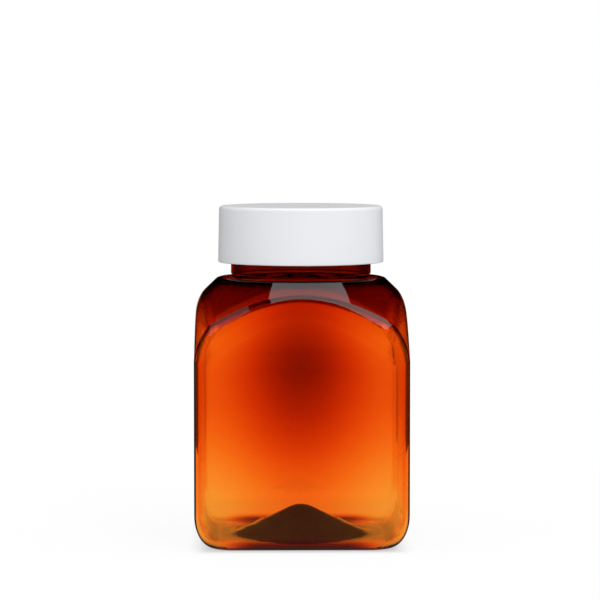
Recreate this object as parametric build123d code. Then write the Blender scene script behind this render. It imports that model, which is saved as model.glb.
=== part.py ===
"""A square wide-mouth bottle with a screw cap: bottle, cap and cap liner, each one solid.

Millimetres, +Z up. The origin is the centre of the face that the bottle stands on, and the
flat panels look along -Y, +X, +Y and -X. The cap is screwed home and seals on the liner.
"""
from build123d import *
import math
import os

# Bottle body
BODY_WIDTH = 50.92           # across two opposite panels
CORNER_RADIUS = 3.2          # upright edge between two panels
WALL = 0.9                   # wall of the panels
CURVE_STEPS = 8              # steps between the sections that draw the foot's curve

# Foot: each panel turns under to the standing face in a quarter ellipse
FOOT_WIDTH = 5.4
FOOT_HEIGHT = 8.6
FOOT_CORNER_RADIUS = 4.7     # corner of the standing face, seen in plan

# Shoulder: a cone that cuts the four panels in arches, with a flat ring round the neck
SHOULDER_Z = 63.8            # flat ring at the foot of the neck
SHOULDER_FLAT_RADIUS = 20.2  # outer edge of the flat ring
SHOULDER_SLOPE = 43.7        # degrees below level
SHOULDER_ROUND = 1.4         # round between the flat ring and the cone
SHOULDER_WALL = 1.3
ARCH_ROUND = 8.7             # round between the cone and a panel, all along the arch
CORNER_LIFT = 0.05           # the corners are rounded under a cone this much higher, so that
                             # the true cone cuts the rounds off before they thin to a point

# Base: a push-up that leaves a standing band
BASE_WALL = 1.15
PUSH_UP_RADIUS = 18.2        # where the push-up meets the standing band
PUSH_UP_SLOPE = 25.4         # degrees, at its steepest
PUSH_UP_TIP_ROUND = 5.5      # underside, at the axis
PUSH_UP_FOOT_ROUND = 8.0     # underside, where it runs out into the band
GATE_RADIUS = 1.5            # nub left by the moulding gate
GATE_HEIGHT = 0.4

# Neck finish
NECK_RADIUS = 16.95
NECK_GROOVE_RADIUS = 16.7
NECK_GROOVE_HEIGHT = 0.7
BORE_RADIUS = 15.35
LIP_Z = 78.4
LIP_ROUND = 0.5

# Thread, one start, right-handed
THREAD_LEAD = 4.23
THREAD_DEPTH = 1.15
THREAD_ROOT_WIDTH = 2.3
THREAD_CREST_WIDTH = 0.95
NECK_THREAD_BOTTOM = 69.6    # middle of the ridge at its lower end
NECK_THREAD_TURNS = 1.45
THREAD_FLANK_GAP = 0.15      # axial play when the cap is home
THREAD_END_SHARE = 0.97      # size of a ridge's rounded end against the ridge itself
THREAD_SINK = 0.2            # how far a ridge's root is let into its wall

# Cap
CAP_RIM_RADIUS = 20.03
CAP_TOP_RADIUS = 19.78
CAP_RIM_Z = 67.4
CAP_TOP_Z = 81.0
CAP_EDGE_ROUND = 0.8
CAP_RIM_ROUND = 0.25
CAP_TOP_WALL = 1.5
CAP_BORE_RADIUS = 18.4
CAP_CORNER_ROUND = 0.6       # inside, between the ceiling and the skirt
CAP_THREAD_BOTTOM = 69.9     # the ridge's lower end is at or above this height
CAP_THREAD_TURNS = 1.3

# Liner: a foam disc under the cap's ceiling
LINER_RADIUS = 17.7
LINER_SEAT_GAP = 0.02        # clear of the lip and of the ceiling
LINER_ROUND = 0.15

HALF_WIDTH = BODY_WIDTH / 2
SHOULDER_TAN = math.tan(math.radians(SHOULDER_SLOPE))
CAP_CEILING_Z = CAP_TOP_Z - CAP_TOP_WALL


def rounded_square(half_width, corner_radius, height):
    """A rounded square face, level, at the given height."""
    return Plane.XY.offset(height) * RectangleRounded(2 * half_width, 2 * half_width, corner_radius)


def foot(wall, floor_z):
    """The lowest part of the body, set in from the outer face by a wall."""
    width = FOOT_WIDTH - wall
    height = FOOT_HEIGHT - floor_z
    sections = []
    for step in range(CURVE_STEPS + 1):
        angle = math.radians(90 * step / CURVE_STEPS)
        blend = 1 - math.cos(angle)
        radius = CORNER_RADIUS + (FOOT_CORNER_RADIUS - CORNER_RADIUS) * blend - wall
        level = floor_z + height * (1 - math.sin(angle))
        sections.append(rounded_square(HALF_WIDTH - wall - width * blend, radius, level))
    return loft(sections)


def shoulder_envelope(drop, round_radius):
    """Everything under the shoulder cone and its flat ring, as a turned solid.

    drop lowers the cone, square to its surface, to make the inner face of the wall.
    """
    flat_z = SHOULDER_Z - drop
    cone_shift = drop / math.cos(math.radians(SHOULDER_SLOPE)) - drop
    flat_radius = SHOULDER_FLAT_RADIUS - cone_shift / SHOULDER_TAN
    reach = BODY_WIDTH
    edge_z = flat_z - (reach - flat_radius) * SHOULDER_TAN
    points = [(0, -1), (reach, -1), (reach, edge_z), (flat_radius, flat_z), (0, flat_z)]
    profile = Plane.XZ * Polygon(*points, align=None)
    ring_edge = [vertex for vertex in profile.vertices() if abs(vertex.X - flat_radius) < 0.01]
    return revolve(fillet(ring_edge, round_radius), Axis.Z)


def arch_quarter(wall, shoulder_wall):
    """The quarter of the upper body that faces -Y: a panel, its arch and its share of the cone."""
    base = Plane.XY.offset(FOOT_HEIGHT)
    height = SHOULDER_Z - FOOT_HEIGHT + 1
    reach = 0.75 * BODY_WIDTH    # past the corners, so that the arch's round runs right through them
    slab = base * Box(2 * reach, BODY_WIDTH - 2 * wall, height, align=(Align.CENTER, Align.CENTER, Align.MIN))
    slab &= shoulder_envelope(shoulder_wall, SHOULDER_ROUND + shoulder_wall)
    arch = slab.edges().filter_by(GeomType.HYPERBOLA).sort_by(Axis.Y)[0]
    slab = fillet(arch, ARCH_ROUND - wall)
    quarter = base * Polygon((0, 0), (-reach, -reach), (reach, -reach), align=None)
    return slab & extrude(quarter, height, dir=(0, 0, 1))


def body_form(wall, shoulder_wall, floor_z):
    """The body from its floor to its shoulder, set in from the outer face by a wall."""
    quarter = arch_quarter(wall, shoulder_wall - CORNER_LIFT)
    upper = quarter
    for turn in (90, 180, 270):
        upper += Rot(0, 0, turn) * quarter
    corners = [
        edge
        for edge in upper.edges()
        if abs(abs(edge.center().X) - abs(edge.center().Y)) < 0.01
        and edge.center().Z > FOOT_HEIGHT + 1
        and math.hypot(edge.center().X, edge.center().Y) > SHOULDER_FLAT_RADIUS
    ]
    upper = fillet(corners, CORNER_RADIUS - wall)
    upper &= shoulder_envelope(shoulder_wall, SHOULDER_ROUND + shoulder_wall)
    return upper + foot(wall, floor_z)


def push_up(tip_round, foot_round, floor_z):
    """A rounded cone on the axis that runs out into the floor in a hollow curve."""
    slope = math.radians(PUSH_UP_SLOPE)
    rounds = tip_round + foot_round
    rise = rounds * (1 - math.cos(slope))
    rise += (PUSH_UP_RADIUS - rounds * math.sin(slope)) * math.tan(slope)
    tip = Vector(0, floor_z + rise)
    tip_middle = Vector(tip_round * math.sin(slope / 2), tip.Y - tip_round * (1 - math.cos(slope / 2)))
    tip_end = Vector(tip_round * math.sin(slope), tip.Y - tip_round * (1 - math.cos(slope)))
    foot_start = Vector(
        PUSH_UP_RADIUS - foot_round * math.sin(slope), floor_z + foot_round * (1 - math.cos(slope))
    )
    foot_middle = Vector(
        PUSH_UP_RADIUS - foot_round * math.sin(slope / 2),
        floor_z + foot_round * (1 - math.cos(slope / 2)),
    )
    foot_end = Vector(PUSH_UP_RADIUS, floor_z)
    below = floor_z - 1
    outline = (
        ThreePointArc(tip, tip_middle, tip_end)
        + Line(tip_end, foot_start)
        + ThreePointArc(foot_start, foot_middle, foot_end)
        + Polyline(foot_end, Vector(PUSH_UP_RADIUS, below), Vector(0, below), tip)
    )
    return revolve(Plane.XZ * make_face(outline), Axis.Z)


def turned(*points):
    """A solid turned about the axis from (radius, height) points."""
    return revolve(Plane.XZ * Polygon(*points, align=None), Axis.Z)


def thread_ridge(root_radius, outward, bottom_z, turns):
    """One helical ridge with rounded ends. outward is 1 on a neck and -1 in a cap."""
    flank = (THREAD_ROOT_WIDTH - THREAD_CREST_WIDTH) / 2 / THREAD_DEPTH
    depth = THREAD_SINK + THREAD_DEPTH
    root_half = THREAD_ROOT_WIDTH / 2 + flank * THREAD_SINK
    crest_half = THREAD_CREST_WIDTH / 2
    helix = Helix(
        THREAD_LEAD, THREAD_LEAD * turns, root_radius - outward * THREAD_SINK, center=(0, 0, bottom_z)
    )

    def radial_at(place):
        point = helix @ place
        return Vector(point.X, point.Y, 0).normalized() * outward

    start = Plane(origin=helix @ 0, x_dir=radial_at(0), z_dir=helix % 0)
    corners = [(0, -root_half), (depth, -crest_half), (depth, crest_half), (0, root_half)]
    ridge = sweep(start * Polygon(*corners, align=None), path=helix, is_frenet=True)
    for place in (0, 1):
        end_plane = Plane(origin=helix @ place, z_dir=radial_at(place))
        ridge += end_plane * Cone(
            root_half * THREAD_END_SHARE,
            crest_half * THREAD_END_SHARE,
            depth,
            align=(Align.CENTER, Align.CENTER, Align.MIN),
        )
    return ridge


def make_bottle():
    """The blow-moulded bottle: body, shoulder, push-up base and threaded neck."""
    shell = body_form(0, 0, 0)
    hollow = body_form(WALL, SHOULDER_WALL, BASE_WALL)
    hollow -= push_up(PUSH_UP_TIP_ROUND + BASE_WALL, PUSH_UP_FOOT_ROUND - BASE_WALL, BASE_WALL)
    shell -= push_up(PUSH_UP_TIP_ROUND, PUSH_UP_FOOT_ROUND, 0)
    groove_top = SHOULDER_Z + NECK_GROOVE_HEIGHT
    neck = turned(
        (0, SHOULDER_Z - WALL / 2),
        (NECK_GROOVE_RADIUS, SHOULDER_Z - WALL / 2),
        (NECK_GROOVE_RADIUS, groove_top),
        (NECK_RADIUS, groove_top + NECK_RADIUS - NECK_GROOVE_RADIUS),
        (NECK_RADIUS, LIP_Z),
        (0, LIP_Z),
    )
    neck = fillet(neck.edges().group_by(Axis.Z)[-1], LIP_ROUND)
    ridge = thread_ridge(NECK_RADIUS, 1, NECK_THREAD_BOTTOM, NECK_THREAD_TURNS)
    bore_bottom = SHOULDER_Z - 2 * SHOULDER_WALL
    bore = Plane.XY.offset(bore_bottom) * Cylinder(
        BORE_RADIUS, LIP_Z - bore_bottom + 1, align=(Align.CENTER, Align.CENTER, Align.MIN)
    )
    bottle = shell + neck + ridge - hollow - bore
    gate_z = push_up_height() - GATE_HEIGHT
    gate = Plane.XY.offset(gate_z) * Cylinder(
        GATE_RADIUS, GATE_HEIGHT + BASE_WALL / 2, align=(Align.CENTER, Align.CENTER, Align.MIN)
    )
    return bottle + gate


def push_up_height():
    """Height of the underside of the base at the axis."""
    slope = math.radians(PUSH_UP_SLOPE)
    rounds = PUSH_UP_TIP_ROUND + PUSH_UP_FOOT_ROUND
    straight = (PUSH_UP_RADIUS - rounds * math.sin(slope)) * math.tan(slope)
    return rounds * (1 - math.cos(slope)) + straight


def make_cap():
    """The moulded cap: a plain tapered skirt, a flat top and a thread inside."""
    body = turned(
        (0, CAP_RIM_Z),
        (CAP_RIM_RADIUS, CAP_RIM_Z),
        (CAP_TOP_RADIUS, CAP_TOP_Z),
        (0, CAP_TOP_Z),
    )
    body = fillet(body.edges().group_by(Axis.Z)[-1], CAP_EDGE_ROUND)
    body = fillet(body.edges().group_by(Axis.Z)[0], CAP_RIM_ROUND)
    inside = turned(
        (0, CAP_RIM_Z - 1),
        (CAP_BORE_RADIUS, CAP_RIM_Z - 1),
        (CAP_BORE_RADIUS, CAP_CEILING_Z),
        (0, CAP_CEILING_Z),
    )
    inside = fillet(inside.edges().group_by(Axis.Z)[-1], CAP_CORNER_ROUND)
    return body - inside + cap_thread()


def cap_thread():
    """The ridge in the cap, lying just under the ridge on the neck when the cap is home."""
    depth_share = (CAP_BORE_RADIUS - NECK_RADIUS) / THREAD_DEPTH
    taper = THREAD_ROOT_WIDTH - THREAD_CREST_WIDTH
    ridge_spacing = THREAD_ROOT_WIDTH - taper * depth_share / 2 + THREAD_FLANK_GAP
    turn_back = (NECK_THREAD_BOTTOM - ridge_spacing - CAP_THREAD_BOTTOM) / THREAD_LEAD % 1
    ridge = thread_ridge(CAP_BORE_RADIUS, -1, CAP_THREAD_BOTTOM, CAP_THREAD_TURNS)
    return Rot(0, 0, -360 * turn_back) * ridge


def make_liner():
    """The foam disc between the lip and the cap's ceiling."""
    bottom = LIP_Z + LINER_SEAT_GAP
    thickness = CAP_CEILING_Z - LINER_SEAT_GAP - bottom
    disc = Plane.XY.offset(bottom) * Cylinder(
        LINER_RADIUS, thickness, align=(Align.CENTER, Align.CENTER, Align.MIN)
    )
    return fillet(disc.edges().filter_by(GeomType.CIRCLE), LINER_ROUND)


PARTS = {"bottle": make_bottle, "cap": make_cap, "cap_liner": make_liner}

os.makedirs("parts", exist_ok=True)
for name, make in PARTS.items():
    solid = make()
    export_step(solid, f"parts/{name}.step")
    print(name, "volume", round(solid.volume, 1), "mm3, solids", len(solid.solids()))
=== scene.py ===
import math

import bpy
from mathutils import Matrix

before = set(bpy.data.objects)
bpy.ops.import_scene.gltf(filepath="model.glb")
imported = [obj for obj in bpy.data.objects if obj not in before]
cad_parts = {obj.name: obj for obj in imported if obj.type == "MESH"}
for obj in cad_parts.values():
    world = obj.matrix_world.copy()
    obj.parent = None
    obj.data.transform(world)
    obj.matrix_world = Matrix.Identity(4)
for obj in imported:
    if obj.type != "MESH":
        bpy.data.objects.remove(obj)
bpy.ops.object.select_all(action="DESELECT")
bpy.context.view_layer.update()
print("frame loaded:", ", ".join(sorted(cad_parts)))

bottleLook = {
    "node": "bottle",
    "ior": 1.5,
    "roughness": 0.02,
    "wallTint": (1.0, 0.66, 0.0),         # the plastic itself
    "wallDensity": 1300.0,                # absorption per metre
    "spotReach": 0.0147,                  # a panel's dark middle, across
    # height: how much deeper the colour is in a panel's middle, and all over
    "panelDepths": (
        (0.0080, 0.50, 0.09),
        (0.0115, 0.55, 0.14),
        (0.0150, 0.60, 0.22),
        (0.0220, 0.84, 0.44),
        (0.0290, 1.08, 0.66),
        (0.0360, 1.33, 0.77),
        (0.0430, 1.68, 0.67),
        (0.0470, 1.62, 0.47),
        (0.0505, 1.40, 0.42),
        (0.0560, 1.20, 0.50),
    ),
    "depthScale": 2.0,                    # the ramp holds the depths divided by this
    "cornerShadeSides": (0.0484, 0.0490),      # |x| + |y| where the painted shade on a corner starts and is full
    "cornerShadeDepth": 0.7,
    "cornerShadeHeights": (0.006, 0.011),      # the painted shade fades out down the foot
    "baseShadeReach": (0.0180, 0.0204),        # the painted shade on the base ends over these radii
    "baseShadeHeight": 0.0125,                 # and at this height
    "baseShadeDepth": 5.0,
    "bandShadowReach": (0.011, 0.020),          # painted shadow on the standing band, deepest in the middle of each side under its raised edge
    "bandShadowHeights": (0.0008, 0.0028),
    "bandShadowDepth": 3.2,
    "coneTilt": 0.9556,                   # height plus this much of the radius is the same all over the cone
    "coneEdge": (0.0823, 0.0830),         # where that sum leaves the panels and is on the cone
    "neckHeights": (0.0640, 0.0643),
    "neckColour": (0.32, 0.07, 0.0),
    # depth, and the colour it gives
    "depthColours": (
        (0.00, (1.0, 1.0, 1.0)),
        (0.065, (1.0, 0.937, 0.79)),
        (0.15, (1.0, 0.861, 0.563)),
        (0.40, (0.995, 0.680, 0.350)),
        (0.80, (0.950, 0.460, 0.183)),
        (1.37, (0.820, 0.254, 0.080)),
        (1.94, (0.620, 0.140, 0.030)),
        (2.28, (0.482, 0.102, 0.015)),
        (2.80, (0.290, 0.055, 0.006)),
        (3.60, (0.110, 0.018, 0.001)),
        (5.00, (0.010, 0.001, 0.0)),
    ),
    "shoulderSpan": (0.050, 0.064),
    # height, and the colour there
    "shoulderColours": (
        (0.0500, (0.300, 0.030, 0.0)),
        (0.0537, (0.250, 0.014, 0.0)),
        (0.0570, (0.116, 0.008, 0.0)),
        (0.0600, (0.090, 0.004, 0.0)),
        (0.0613, (0.075, 0.003, 0.0)),
        (0.0625, (0.012, 0.001, 0.0)),
        (0.0634, (0.0001, 0.0, 0.0)),
    ),
    "waveSize": 0.011,                    # slow waves in the blown walls
    "waveHeight": 0.000006,
}

capLook = {
    "node": "cap",
    "colour": (0.80, 0.81, 0.835),
    "roughness": 0.36,
    "grainSize": 0.0006,
    "grainHeight": 0.00001,
    "grainStrength": 0.5,
    "gateRadii": (0.0014, 0.0019),        # the moulding mark in the middle of the top
    "gateHeight": 0.00015,
}

linerLook = {
    "node": "cap_liner",
    "colour": (0.80, 0.79, 0.76),
    "cellSize": 0.0004,
    "cellShade": 0.82,                    # the middle of a cell against the rest
    "roughness": 0.8,
}

studio = {
    "whiteLevel": 1.0,                # the background, seen directly and through the plastic
    "besideLevel": 0.12,              # seen through the plastic to the sides of the backdrops
    "backdropSides": (0.93, 0.985),   # cosines off the square where a backdrop ends and is full
    "fillLevel": 0.54,                # plain light on the object from all round
    "mirroredSides": (0.985, 0.998),  # the same cosines for the part of the rear backdrop in gloss
    "mirroredRise": (0.01, 0.05),     # and how far up it reaches
    "floorColour": 0.90,
    "floorGloss": 0.10,               # the floor as gloss mirrors it
    "floorGlossReach": (0.05, 0.19),
    "floorRadius": 0.208,
    "floorEdges": 96,
    "glowInPaintedShadow": 0.55,               # how much of the floor's glow is kept under the bottle; less glow there is painted shadow over the real one
    "besideShare": 0.93,              # and just beside it, where the painted shadow ends
    "outerShare": 0.07,               # the rest of the glow, added further out, so the floor is painted slightly darker near the bottle
    "paintedShadowHalfWidths": (0.0215, 0.0275),    # half widths of the painted square shadow, between the first two
    "outward": (0.03, 0.16),          # radii over which the rest is added, fading out that painted darkening
}

# mirrored: whether gloss shows the lamp
lamps = {
    "topBox": {
        "place": (0.20, -0.135, 0.85),
        "aim": (0.20, -0.135, 0.0),
        "size": (0.94, 0.59),
        "power": 3.3,
        "mirrored": True,
    },
    "topLeftBox": {
        "place": (-0.56, -0.135, 0.85),
        "aim": (-0.56, -0.135, 0.0),
        "size": (0.24, 0.59),
        "power": 0.27,
        "mirrored": True,
    },
    "rightBox": {
        "place": (0.50, -1.00, 0.70),
        "aim": (0.0, 0.0, 0.05),
        "size": (0.40, 0.60),
        "power": 6.2,
        "mirrored": False,
    },
    "leftBox": {
        "place": (-0.85, -0.60, 0.60),
        "aim": (0.0, 0.0, 0.05),
        "size": (0.30, 0.50),
        "power": 1.4,
        "mirrored": False,
    },
}

shot = {
    "distance": 0.700,       # from the bottle's axis
    "height": 0.10514,
    "downTilt": 3.847,       # degrees
    "azimuth": -0.73,
    "rightShift": -0.0002,
    "focalPixels": 2892.4,
    "framePixels": 600,
    "sensorWidth": 36.0,
}


def newMaterial(name):
    material = bpy.data.materials.new(name)
    material.use_nodes = True
    nodes = material.node_tree.nodes
    return material, nodes, material.node_tree.links, nodes["Principled BSDF"]


def mathNode(nodes, links, operation, first, second=None):
    node = nodes.new("ShaderNodeMath")
    node.operation = operation
    for socket, value in zip(node.inputs, (first, second)):
        if value is None:
            continue
        if isinstance(value, (int, float)):
            socket.default_value = value
        else:
            links.new(value, socket)
    return node.outputs[0]


def rampNode(nodes, stops):
    node = nodes.new("ShaderNodeValToRGB")
    elements = node.color_ramp.elements
    while len(elements) < len(stops):
        elements.new(0.5)
    for element, (place, colour) in zip(elements, stops):
        element.position = place
        element.color = (*colour, 1.0)
    return node


def smoothStep(nodes, links, value, start, end, top=1.0, bottom=0.0, curve="SMOOTHSTEP"):
    node = nodes.new("ShaderNodeMapRange")
    node.interpolation_type = curve
    links.new(value, node.inputs["Value"])
    for socket, number in zip(node.inputs[1:5], (start, end, bottom, top)):
        socket.default_value = number
    return node.outputs[0]


def bellCurve(nodes, links, value, reach):
    scaled = mathNode(nodes, links, "DIVIDE", value, reach)
    square = mathNode(nodes, links, "MULTIPLY", scaled, scaled)
    return mathNode(nodes, links, "EXPONENT", mathNode(nodes, links, "MULTIPLY", square, -1.0))


def colourMix(nodes, links, factor, first, second):
    node = nodes.new("ShaderNodeMix")
    node.data_type = "RGBA"
    links.new(factor, node.inputs["Factor"])
    links.new(first, node.inputs[6])
    if isinstance(second, tuple):
        node.inputs[7].default_value = (*second, 1.0)
    else:
        links.new(second, node.inputs[7])
    return node.outputs[2]


def makeAmber():
    material, nodes, links, plastic = newMaterial("amberPlastic")
    coords = nodes.new("ShaderNodeTexCoord").outputs["Object"]
    split = nodes.new("ShaderNodeSeparateXYZ")
    links.new(coords, split.inputs[0])
    x, y, z = split.outputs
    absX = mathNode(nodes, links, "ABSOLUTE", x)
    absY = mathNode(nodes, links, "ABSOLUTE", y)
    squares = [mathNode(nodes, links, "MULTIPLY", axis, axis) for axis in (x, y)]
    radius = mathNode(nodes, links, "SQRT", mathNode(nodes, links, "ADD", *squares))

    # each panel is deepest in its middle
    low, high = bottleLook["panelDepths"][0][0], bottleLook["panelDepths"][-1][0]
    scale = bottleLook["depthScale"]
    amounts = rampNode(nodes, [
        ((height - low) / (high - low), (middle / scale, plain / scale, 0.0))
        for height, middle, plain in bottleLook["panelDepths"]
    ])
    links.new(smoothStep(nodes, links, z, low, high, curve="LINEAR"), amounts.inputs["Fac"])
    amountSplit = nodes.new("ShaderNodeSeparateColor")
    links.new(amounts.outputs["Color"], amountSplit.inputs[0])
    across = mathNode(nodes, links, "MINIMUM", absX, absY)
    bell = bellCurve(nodes, links, across, bottleLook["spotReach"])
    spot = mathNode(nodes, links, "MULTIPLY", bell, amountSplit.outputs[0])
    depth = mathNode(nodes, links, "ADD", spot, amountSplit.outputs[1])
    depth = mathNode(nodes, links, "MULTIPLY", depth, scale)

    # painted shade deepens the colour at the upright corners, standing in for their dark edges
    side = mathNode(nodes, links, "ADD", absX, absY)
    corner = smoothStep(nodes, links, side, *bottleLook["cornerShadeSides"], bottleLook["cornerShadeDepth"])
    aboveFoot = smoothStep(nodes, links, z, *bottleLook["cornerShadeHeights"])
    corner = mathNode(nodes, links, "MULTIPLY", corner, aboveFoot)
    depth = mathNode(nodes, links, "ADD", depth, corner)

    # and painted shade on the base, where the floor under the bottle lies in shadow
    base = smoothStep(nodes, links, radius, *bottleLook["baseShadeReach"], 0.0, bottleLook["baseShadeDepth"])
    inBase = mathNode(nodes, links, "LESS_THAN", z, bottleLook["baseShadeHeight"])
    depth = mathNode(nodes, links, "ADD", depth, mathNode(nodes, links, "MULTIPLY", base, inBase))
    # painted shadow along the standing band, under the raised middle of each side
    band = smoothStep(nodes, links, across, *bottleLook["bandShadowReach"], 0.0, bottleLook["bandShadowDepth"])
    inBand = smoothStep(nodes, links, z, *bottleLook["bandShadowHeights"], 0.0, 1.0)
    depth = mathNode(nodes, links, "ADD", depth, mathNode(nodes, links, "MULTIPLY", band, inBand))
    fullDepth = bottleLook["depthColours"][-1][0]
    body = rampNode(nodes, [(amount / fullDepth, colour) for amount, colour in bottleLook["depthColours"]])
    links.new(mathNode(nodes, links, "DIVIDE", depth, fullDepth), body.inputs["Fac"])

    # the shoulder darkens towards the neck
    low, high = bottleLook["shoulderSpan"]
    shoulder = rampNode(nodes, [
        ((height - low) / (high - low), colour)
        for height, colour in bottleLook["shoulderColours"]
    ])
    links.new(smoothStep(nodes, links, z, low, high, curve="LINEAR"), shoulder.inputs["Fac"])
    tilted = mathNode(nodes, links, "MULTIPLY", radius, bottleLook["coneTilt"])
    cone = mathNode(nodes, links, "ADD", z, tilted)
    onCone = smoothStep(nodes, links, cone, *bottleLook["coneEdge"])
    withShoulder = colourMix(nodes, links, onCone, body.outputs["Color"], shoulder.outputs["Color"])
    onNeck = smoothStep(nodes, links, z, *bottleLook["neckHeights"])
    withNeck = colourMix(nodes, links, onNeck, withShoulder, bottleLook["neckColour"])
    links.new(withNeck, plastic.inputs["Base Color"])

    # blown walls are slightly wavy
    wave = nodes.new("ShaderNodeTexNoise")
    wave.inputs["Scale"].default_value = 1.0 / bottleLook["waveSize"]
    wave.inputs["Detail"].default_value = 1.0
    links.new(coords, wave.inputs["Vector"])
    bump = nodes.new("ShaderNodeBump")
    bump.inputs["Distance"].default_value = bottleLook["waveHeight"]
    links.new(wave.outputs["Fac"], bump.inputs["Height"])
    links.new(bump.outputs["Normal"], plastic.inputs["Normal"])
    plastic.inputs["Transmission Weight"].default_value = 1.0
    plastic.inputs["IOR"].default_value = bottleLook["ior"]
    plastic.inputs["Roughness"].default_value = bottleLook["roughness"]

    absorb = nodes.new("ShaderNodeVolumeAbsorption")
    absorb.inputs["Color"].default_value = (*bottleLook["wallTint"], 1.0)
    absorb.inputs["Density"].default_value = bottleLook["wallDensity"]
    links.new(absorb.outputs["Volume"], nodes["Material Output"].inputs["Volume"])
    return material


def makeWhite():
    material, nodes, links, plastic = newMaterial("whitePlastic")
    plastic.inputs["Base Color"].default_value = (*capLook["colour"], 1.0)
    plastic.inputs["Roughness"].default_value = capLook["roughness"]
    coords = nodes.new("ShaderNodeTexCoord").outputs["Object"]
    grain = nodes.new("ShaderNodeTexNoise")
    grain.inputs["Scale"].default_value = 1.0 / capLook["grainSize"]
    links.new(coords, grain.inputs["Vector"])
    bump = nodes.new("ShaderNodeBump")
    bump.inputs["Distance"].default_value = capLook["grainHeight"]
    bump.inputs["Strength"].default_value = capLook["grainStrength"]
    links.new(grain.outputs["Fac"], bump.inputs["Height"])
    flat = nodes.new("ShaderNodeVectorMath")
    flat.operation = "MULTIPLY"
    flat.inputs[1].default_value = (1.0, 1.0, 0.0)
    links.new(coords, flat.inputs[0])
    radius = nodes.new("ShaderNodeVectorMath")
    radius.operation = "LENGTH"
    links.new(flat.outputs[0], radius.inputs[0])
    gate = nodes.new("ShaderNodeBump")
    gate.inputs["Distance"].default_value = capLook["gateHeight"]
    links.new(smoothStep(nodes, links, radius.outputs["Value"], *capLook["gateRadii"]), gate.inputs["Height"])
    links.new(bump.outputs["Normal"], gate.inputs["Normal"])
    links.new(gate.outputs["Normal"], plastic.inputs["Normal"])
    return material


def makeFoam():
    material, nodes, links, foam = newMaterial("linerFoam")
    coords = nodes.new("ShaderNodeTexCoord").outputs["Object"]
    cells = nodes.new("ShaderNodeTexVoronoi")
    cells.inputs["Scale"].default_value = 1.0 / linerLook["cellSize"]
    links.new(coords, cells.inputs["Vector"])
    base = linerLook["colour"]
    darker = tuple(linerLook["cellShade"] * channel for channel in base)
    shade = rampNode(nodes, ((0.0, darker), (1.0, base)))
    links.new(cells.outputs["Distance"], shade.inputs["Fac"])
    links.new(shade.outputs["Color"], foam.inputs["Base Color"])
    foam.inputs["Roughness"].default_value = linerLook["roughness"]
    return material


def dress(nodeName, material):
    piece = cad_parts[nodeName]
    for materialSlot in piece.material_slots:
        materialSlot.material = material


dress(bottleLook["node"], makeAmber())
dress(capLook["node"], makeWhite())
dress(linerLook["node"], makeFoam())
print("finishes on")


def plainGlow(nodes, kind, strength):
    node = nodes.new(kind)
    node.inputs["Color"].default_value = (1.0, 1.0, 1.0, 1.0)
    node.inputs["Strength"].default_value = strength
    return node.outputs[0]


def blend(nodes, links, factor, first, second):
    node = nodes.new("ShaderNodeMixShader")
    links.new(factor, node.inputs["Fac"])
    links.new(first, node.inputs[1])
    links.new(second, node.inputs[2])
    return node.outputs[0]


def wider(nodes, links, split):
    absX = mathNode(nodes, links, "ABSOLUTE", split.outputs[0])
    absY = mathNode(nodes, links, "ABSOLUTE", split.outputs[1])
    return mathNode(nodes, links, "MAXIMUM", absX, absY)


def makeFloor():
    bpy.ops.mesh.primitive_circle_add(
        vertices=studio["floorEdges"], radius=studio["floorRadius"], fill_type="NGON")
    floor = bpy.context.object
    floor.name = "floor"
    material, nodes, links, surface = newMaterial("floorWhite")
    nodes.remove(surface)
    matt = nodes.new("ShaderNodeBsdfDiffuse")
    level = studio["floorColour"]
    matt.inputs["Color"].default_value = (level, level, level, 1.0)
    white = plainGlow(nodes, "ShaderNodeEmission", studio["whiteLevel"])
    coords = nodes.new("ShaderNodeTexCoord").outputs["Object"]
    far = nodes.new("ShaderNodeVectorMath")
    far.operation = "LENGTH"
    links.new(coords, far.inputs[0])
    split = nodes.new("ShaderNodeSeparateXYZ")
    links.new(coords, split.inputs[0])
    side = wider(nodes, links, split)
    # painted shadow: the floor's glow is cut back under and near the bottle, so its matt part with the real
    # shadow shows more
    farShare = smoothStep(nodes, links, far.outputs["Value"], *studio["outward"], studio["outerShare"])
    paintedShadowShare = smoothStep(
        nodes, links, side, *studio["paintedShadowHalfWidths"], studio["besideShare"], studio["glowInPaintedShadow"])
    whiteShare = mathNode(nodes, links, "ADD", farShare, paintedShadowShare)
    path = nodes.new("ShaderNodeLightPath")
    direct, glassy = path.outputs["Is Camera Ray"], path.outputs["Is Transmission Ray"]
    seen = mathNode(nodes, links, "MAXIMUM", direct, glassy)
    plain = blend(nodes, links, whiteShare, matt.outputs[0], white)
    gloss = plainGlow(nodes, "ShaderNodeEmission", 0.0)
    fading = smoothStep(
        nodes, links, far.outputs["Value"], *studio["floorGlossReach"], 0.0, studio["floorGloss"])
    links.new(fading, gloss.node.inputs["Strength"])
    unseen = blend(nodes, links, path.outputs["Is Glossy Ray"], matt.outputs[0], gloss)
    links.new(blend(nodes, links, seen, unseen, plain), nodes["Material Output"].inputs["Surface"])
    floor.data.materials.append(material)


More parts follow.
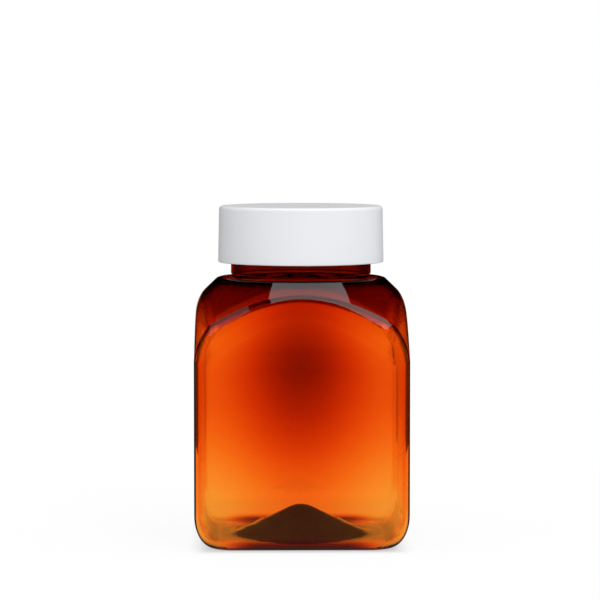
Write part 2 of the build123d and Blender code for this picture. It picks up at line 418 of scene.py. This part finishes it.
def makeSurroundings():
    world = bpy.data.worlds.new("studioWorld")
    bpy.context.scene.world = world
    world.use_nodes = True
    nodes, links = world.node_tree.nodes, world.node_tree.links
    nodes.clear()
    out = nodes.new("ShaderNodeOutputWorld")
    path = nodes.new("ShaderNodeLightPath")
    white = plainGlow(nodes, "ShaderNodeBackground", studio["whiteLevel"])
    through = plainGlow(nodes, "ShaderNodeBackground", studio["whiteLevel"])
    fill = plainGlow(nodes, "ShaderNodeBackground", studio["fillLevel"])
    coords = nodes.new("ShaderNodeTexCoord").outputs["Generated"]
    split = nodes.new("ShaderNodeSeparateXYZ")
    links.new(coords, split.inputs[0])
    behind = smoothStep(nodes, links, split.outputs[1], *studio["mirroredSides"], studio["whiteLevel"])
    low = smoothStep(nodes, links, split.outputs[2], *studio["mirroredRise"], 0.0, 1.0)
    mirrored = plainGlow(nodes, "ShaderNodeBackground", 0.0)
    links.new(mathNode(nodes, links, "MULTIPLY", behind, low), mirrored.node.inputs["Strength"])
    ahead = smoothStep(
        nodes, links, wider(nodes, links, split), *studio["backdropSides"],
        studio["whiteLevel"], studio["besideLevel"])
    links.new(ahead, through.node.inputs["Strength"])
    unseen = blend(nodes, links, path.outputs["Is Glossy Ray"], fill, mirrored)
    glass = blend(nodes, links, path.outputs["Is Transmission Ray"], unseen, through)
    links.new(blend(nodes, links, path.outputs["Is Camera Ray"], glass, white), out.inputs["Surface"])


def aimAt(thing, place, target):
    gap = [t - p for t, p in zip(target, place)]
    level = math.hypot(gap[0], gap[1])
    thing.rotation_euler = (math.atan2(level, -gap[2]), 0.0, math.atan2(-gap[0], gap[1]))


def makeLamp(name, values):
    bpy.ops.object.light_add(type="AREA", location=values["place"])
    lamp = bpy.context.object
    lamp.name = name
    lamp.data.shape = "RECTANGLE"
    lamp.data.size, lamp.data.size_y = values["size"]
    lamp.data.energy = values["power"]
    lamp.visible_camera = False
    lamp.visible_transmission = False
    lamp.visible_glossy = values["mirrored"]
    aimAt(lamp, values["place"], values["aim"])


makeFloor()
makeSurroundings()
for lampName, lampValues in lamps.items():
    makeLamp(lampName, lampValues)
print("studio lit")

turn = math.radians(shot["azimuth"])
bpy.ops.object.camera_add()
camera = bpy.context.object
camera.location = (
    shot["distance"] * math.sin(turn) + shot["rightShift"],
    -shot["distance"] * math.cos(turn),
    shot["height"],
)
camera.rotation_euler = (math.radians(90 - shot["downTilt"]), 0.0, turn)
camera.data.sensor_fit = "HORIZONTAL"
camera.data.sensor_width = shot["sensorWidth"]
camera.data.lens = shot["sensorWidth"] * shot["focalPixels"] / shot["framePixels"]
bpy.context.scene.camera = camera
bpy.context.scene.view_settings.view_transform = "Standard"
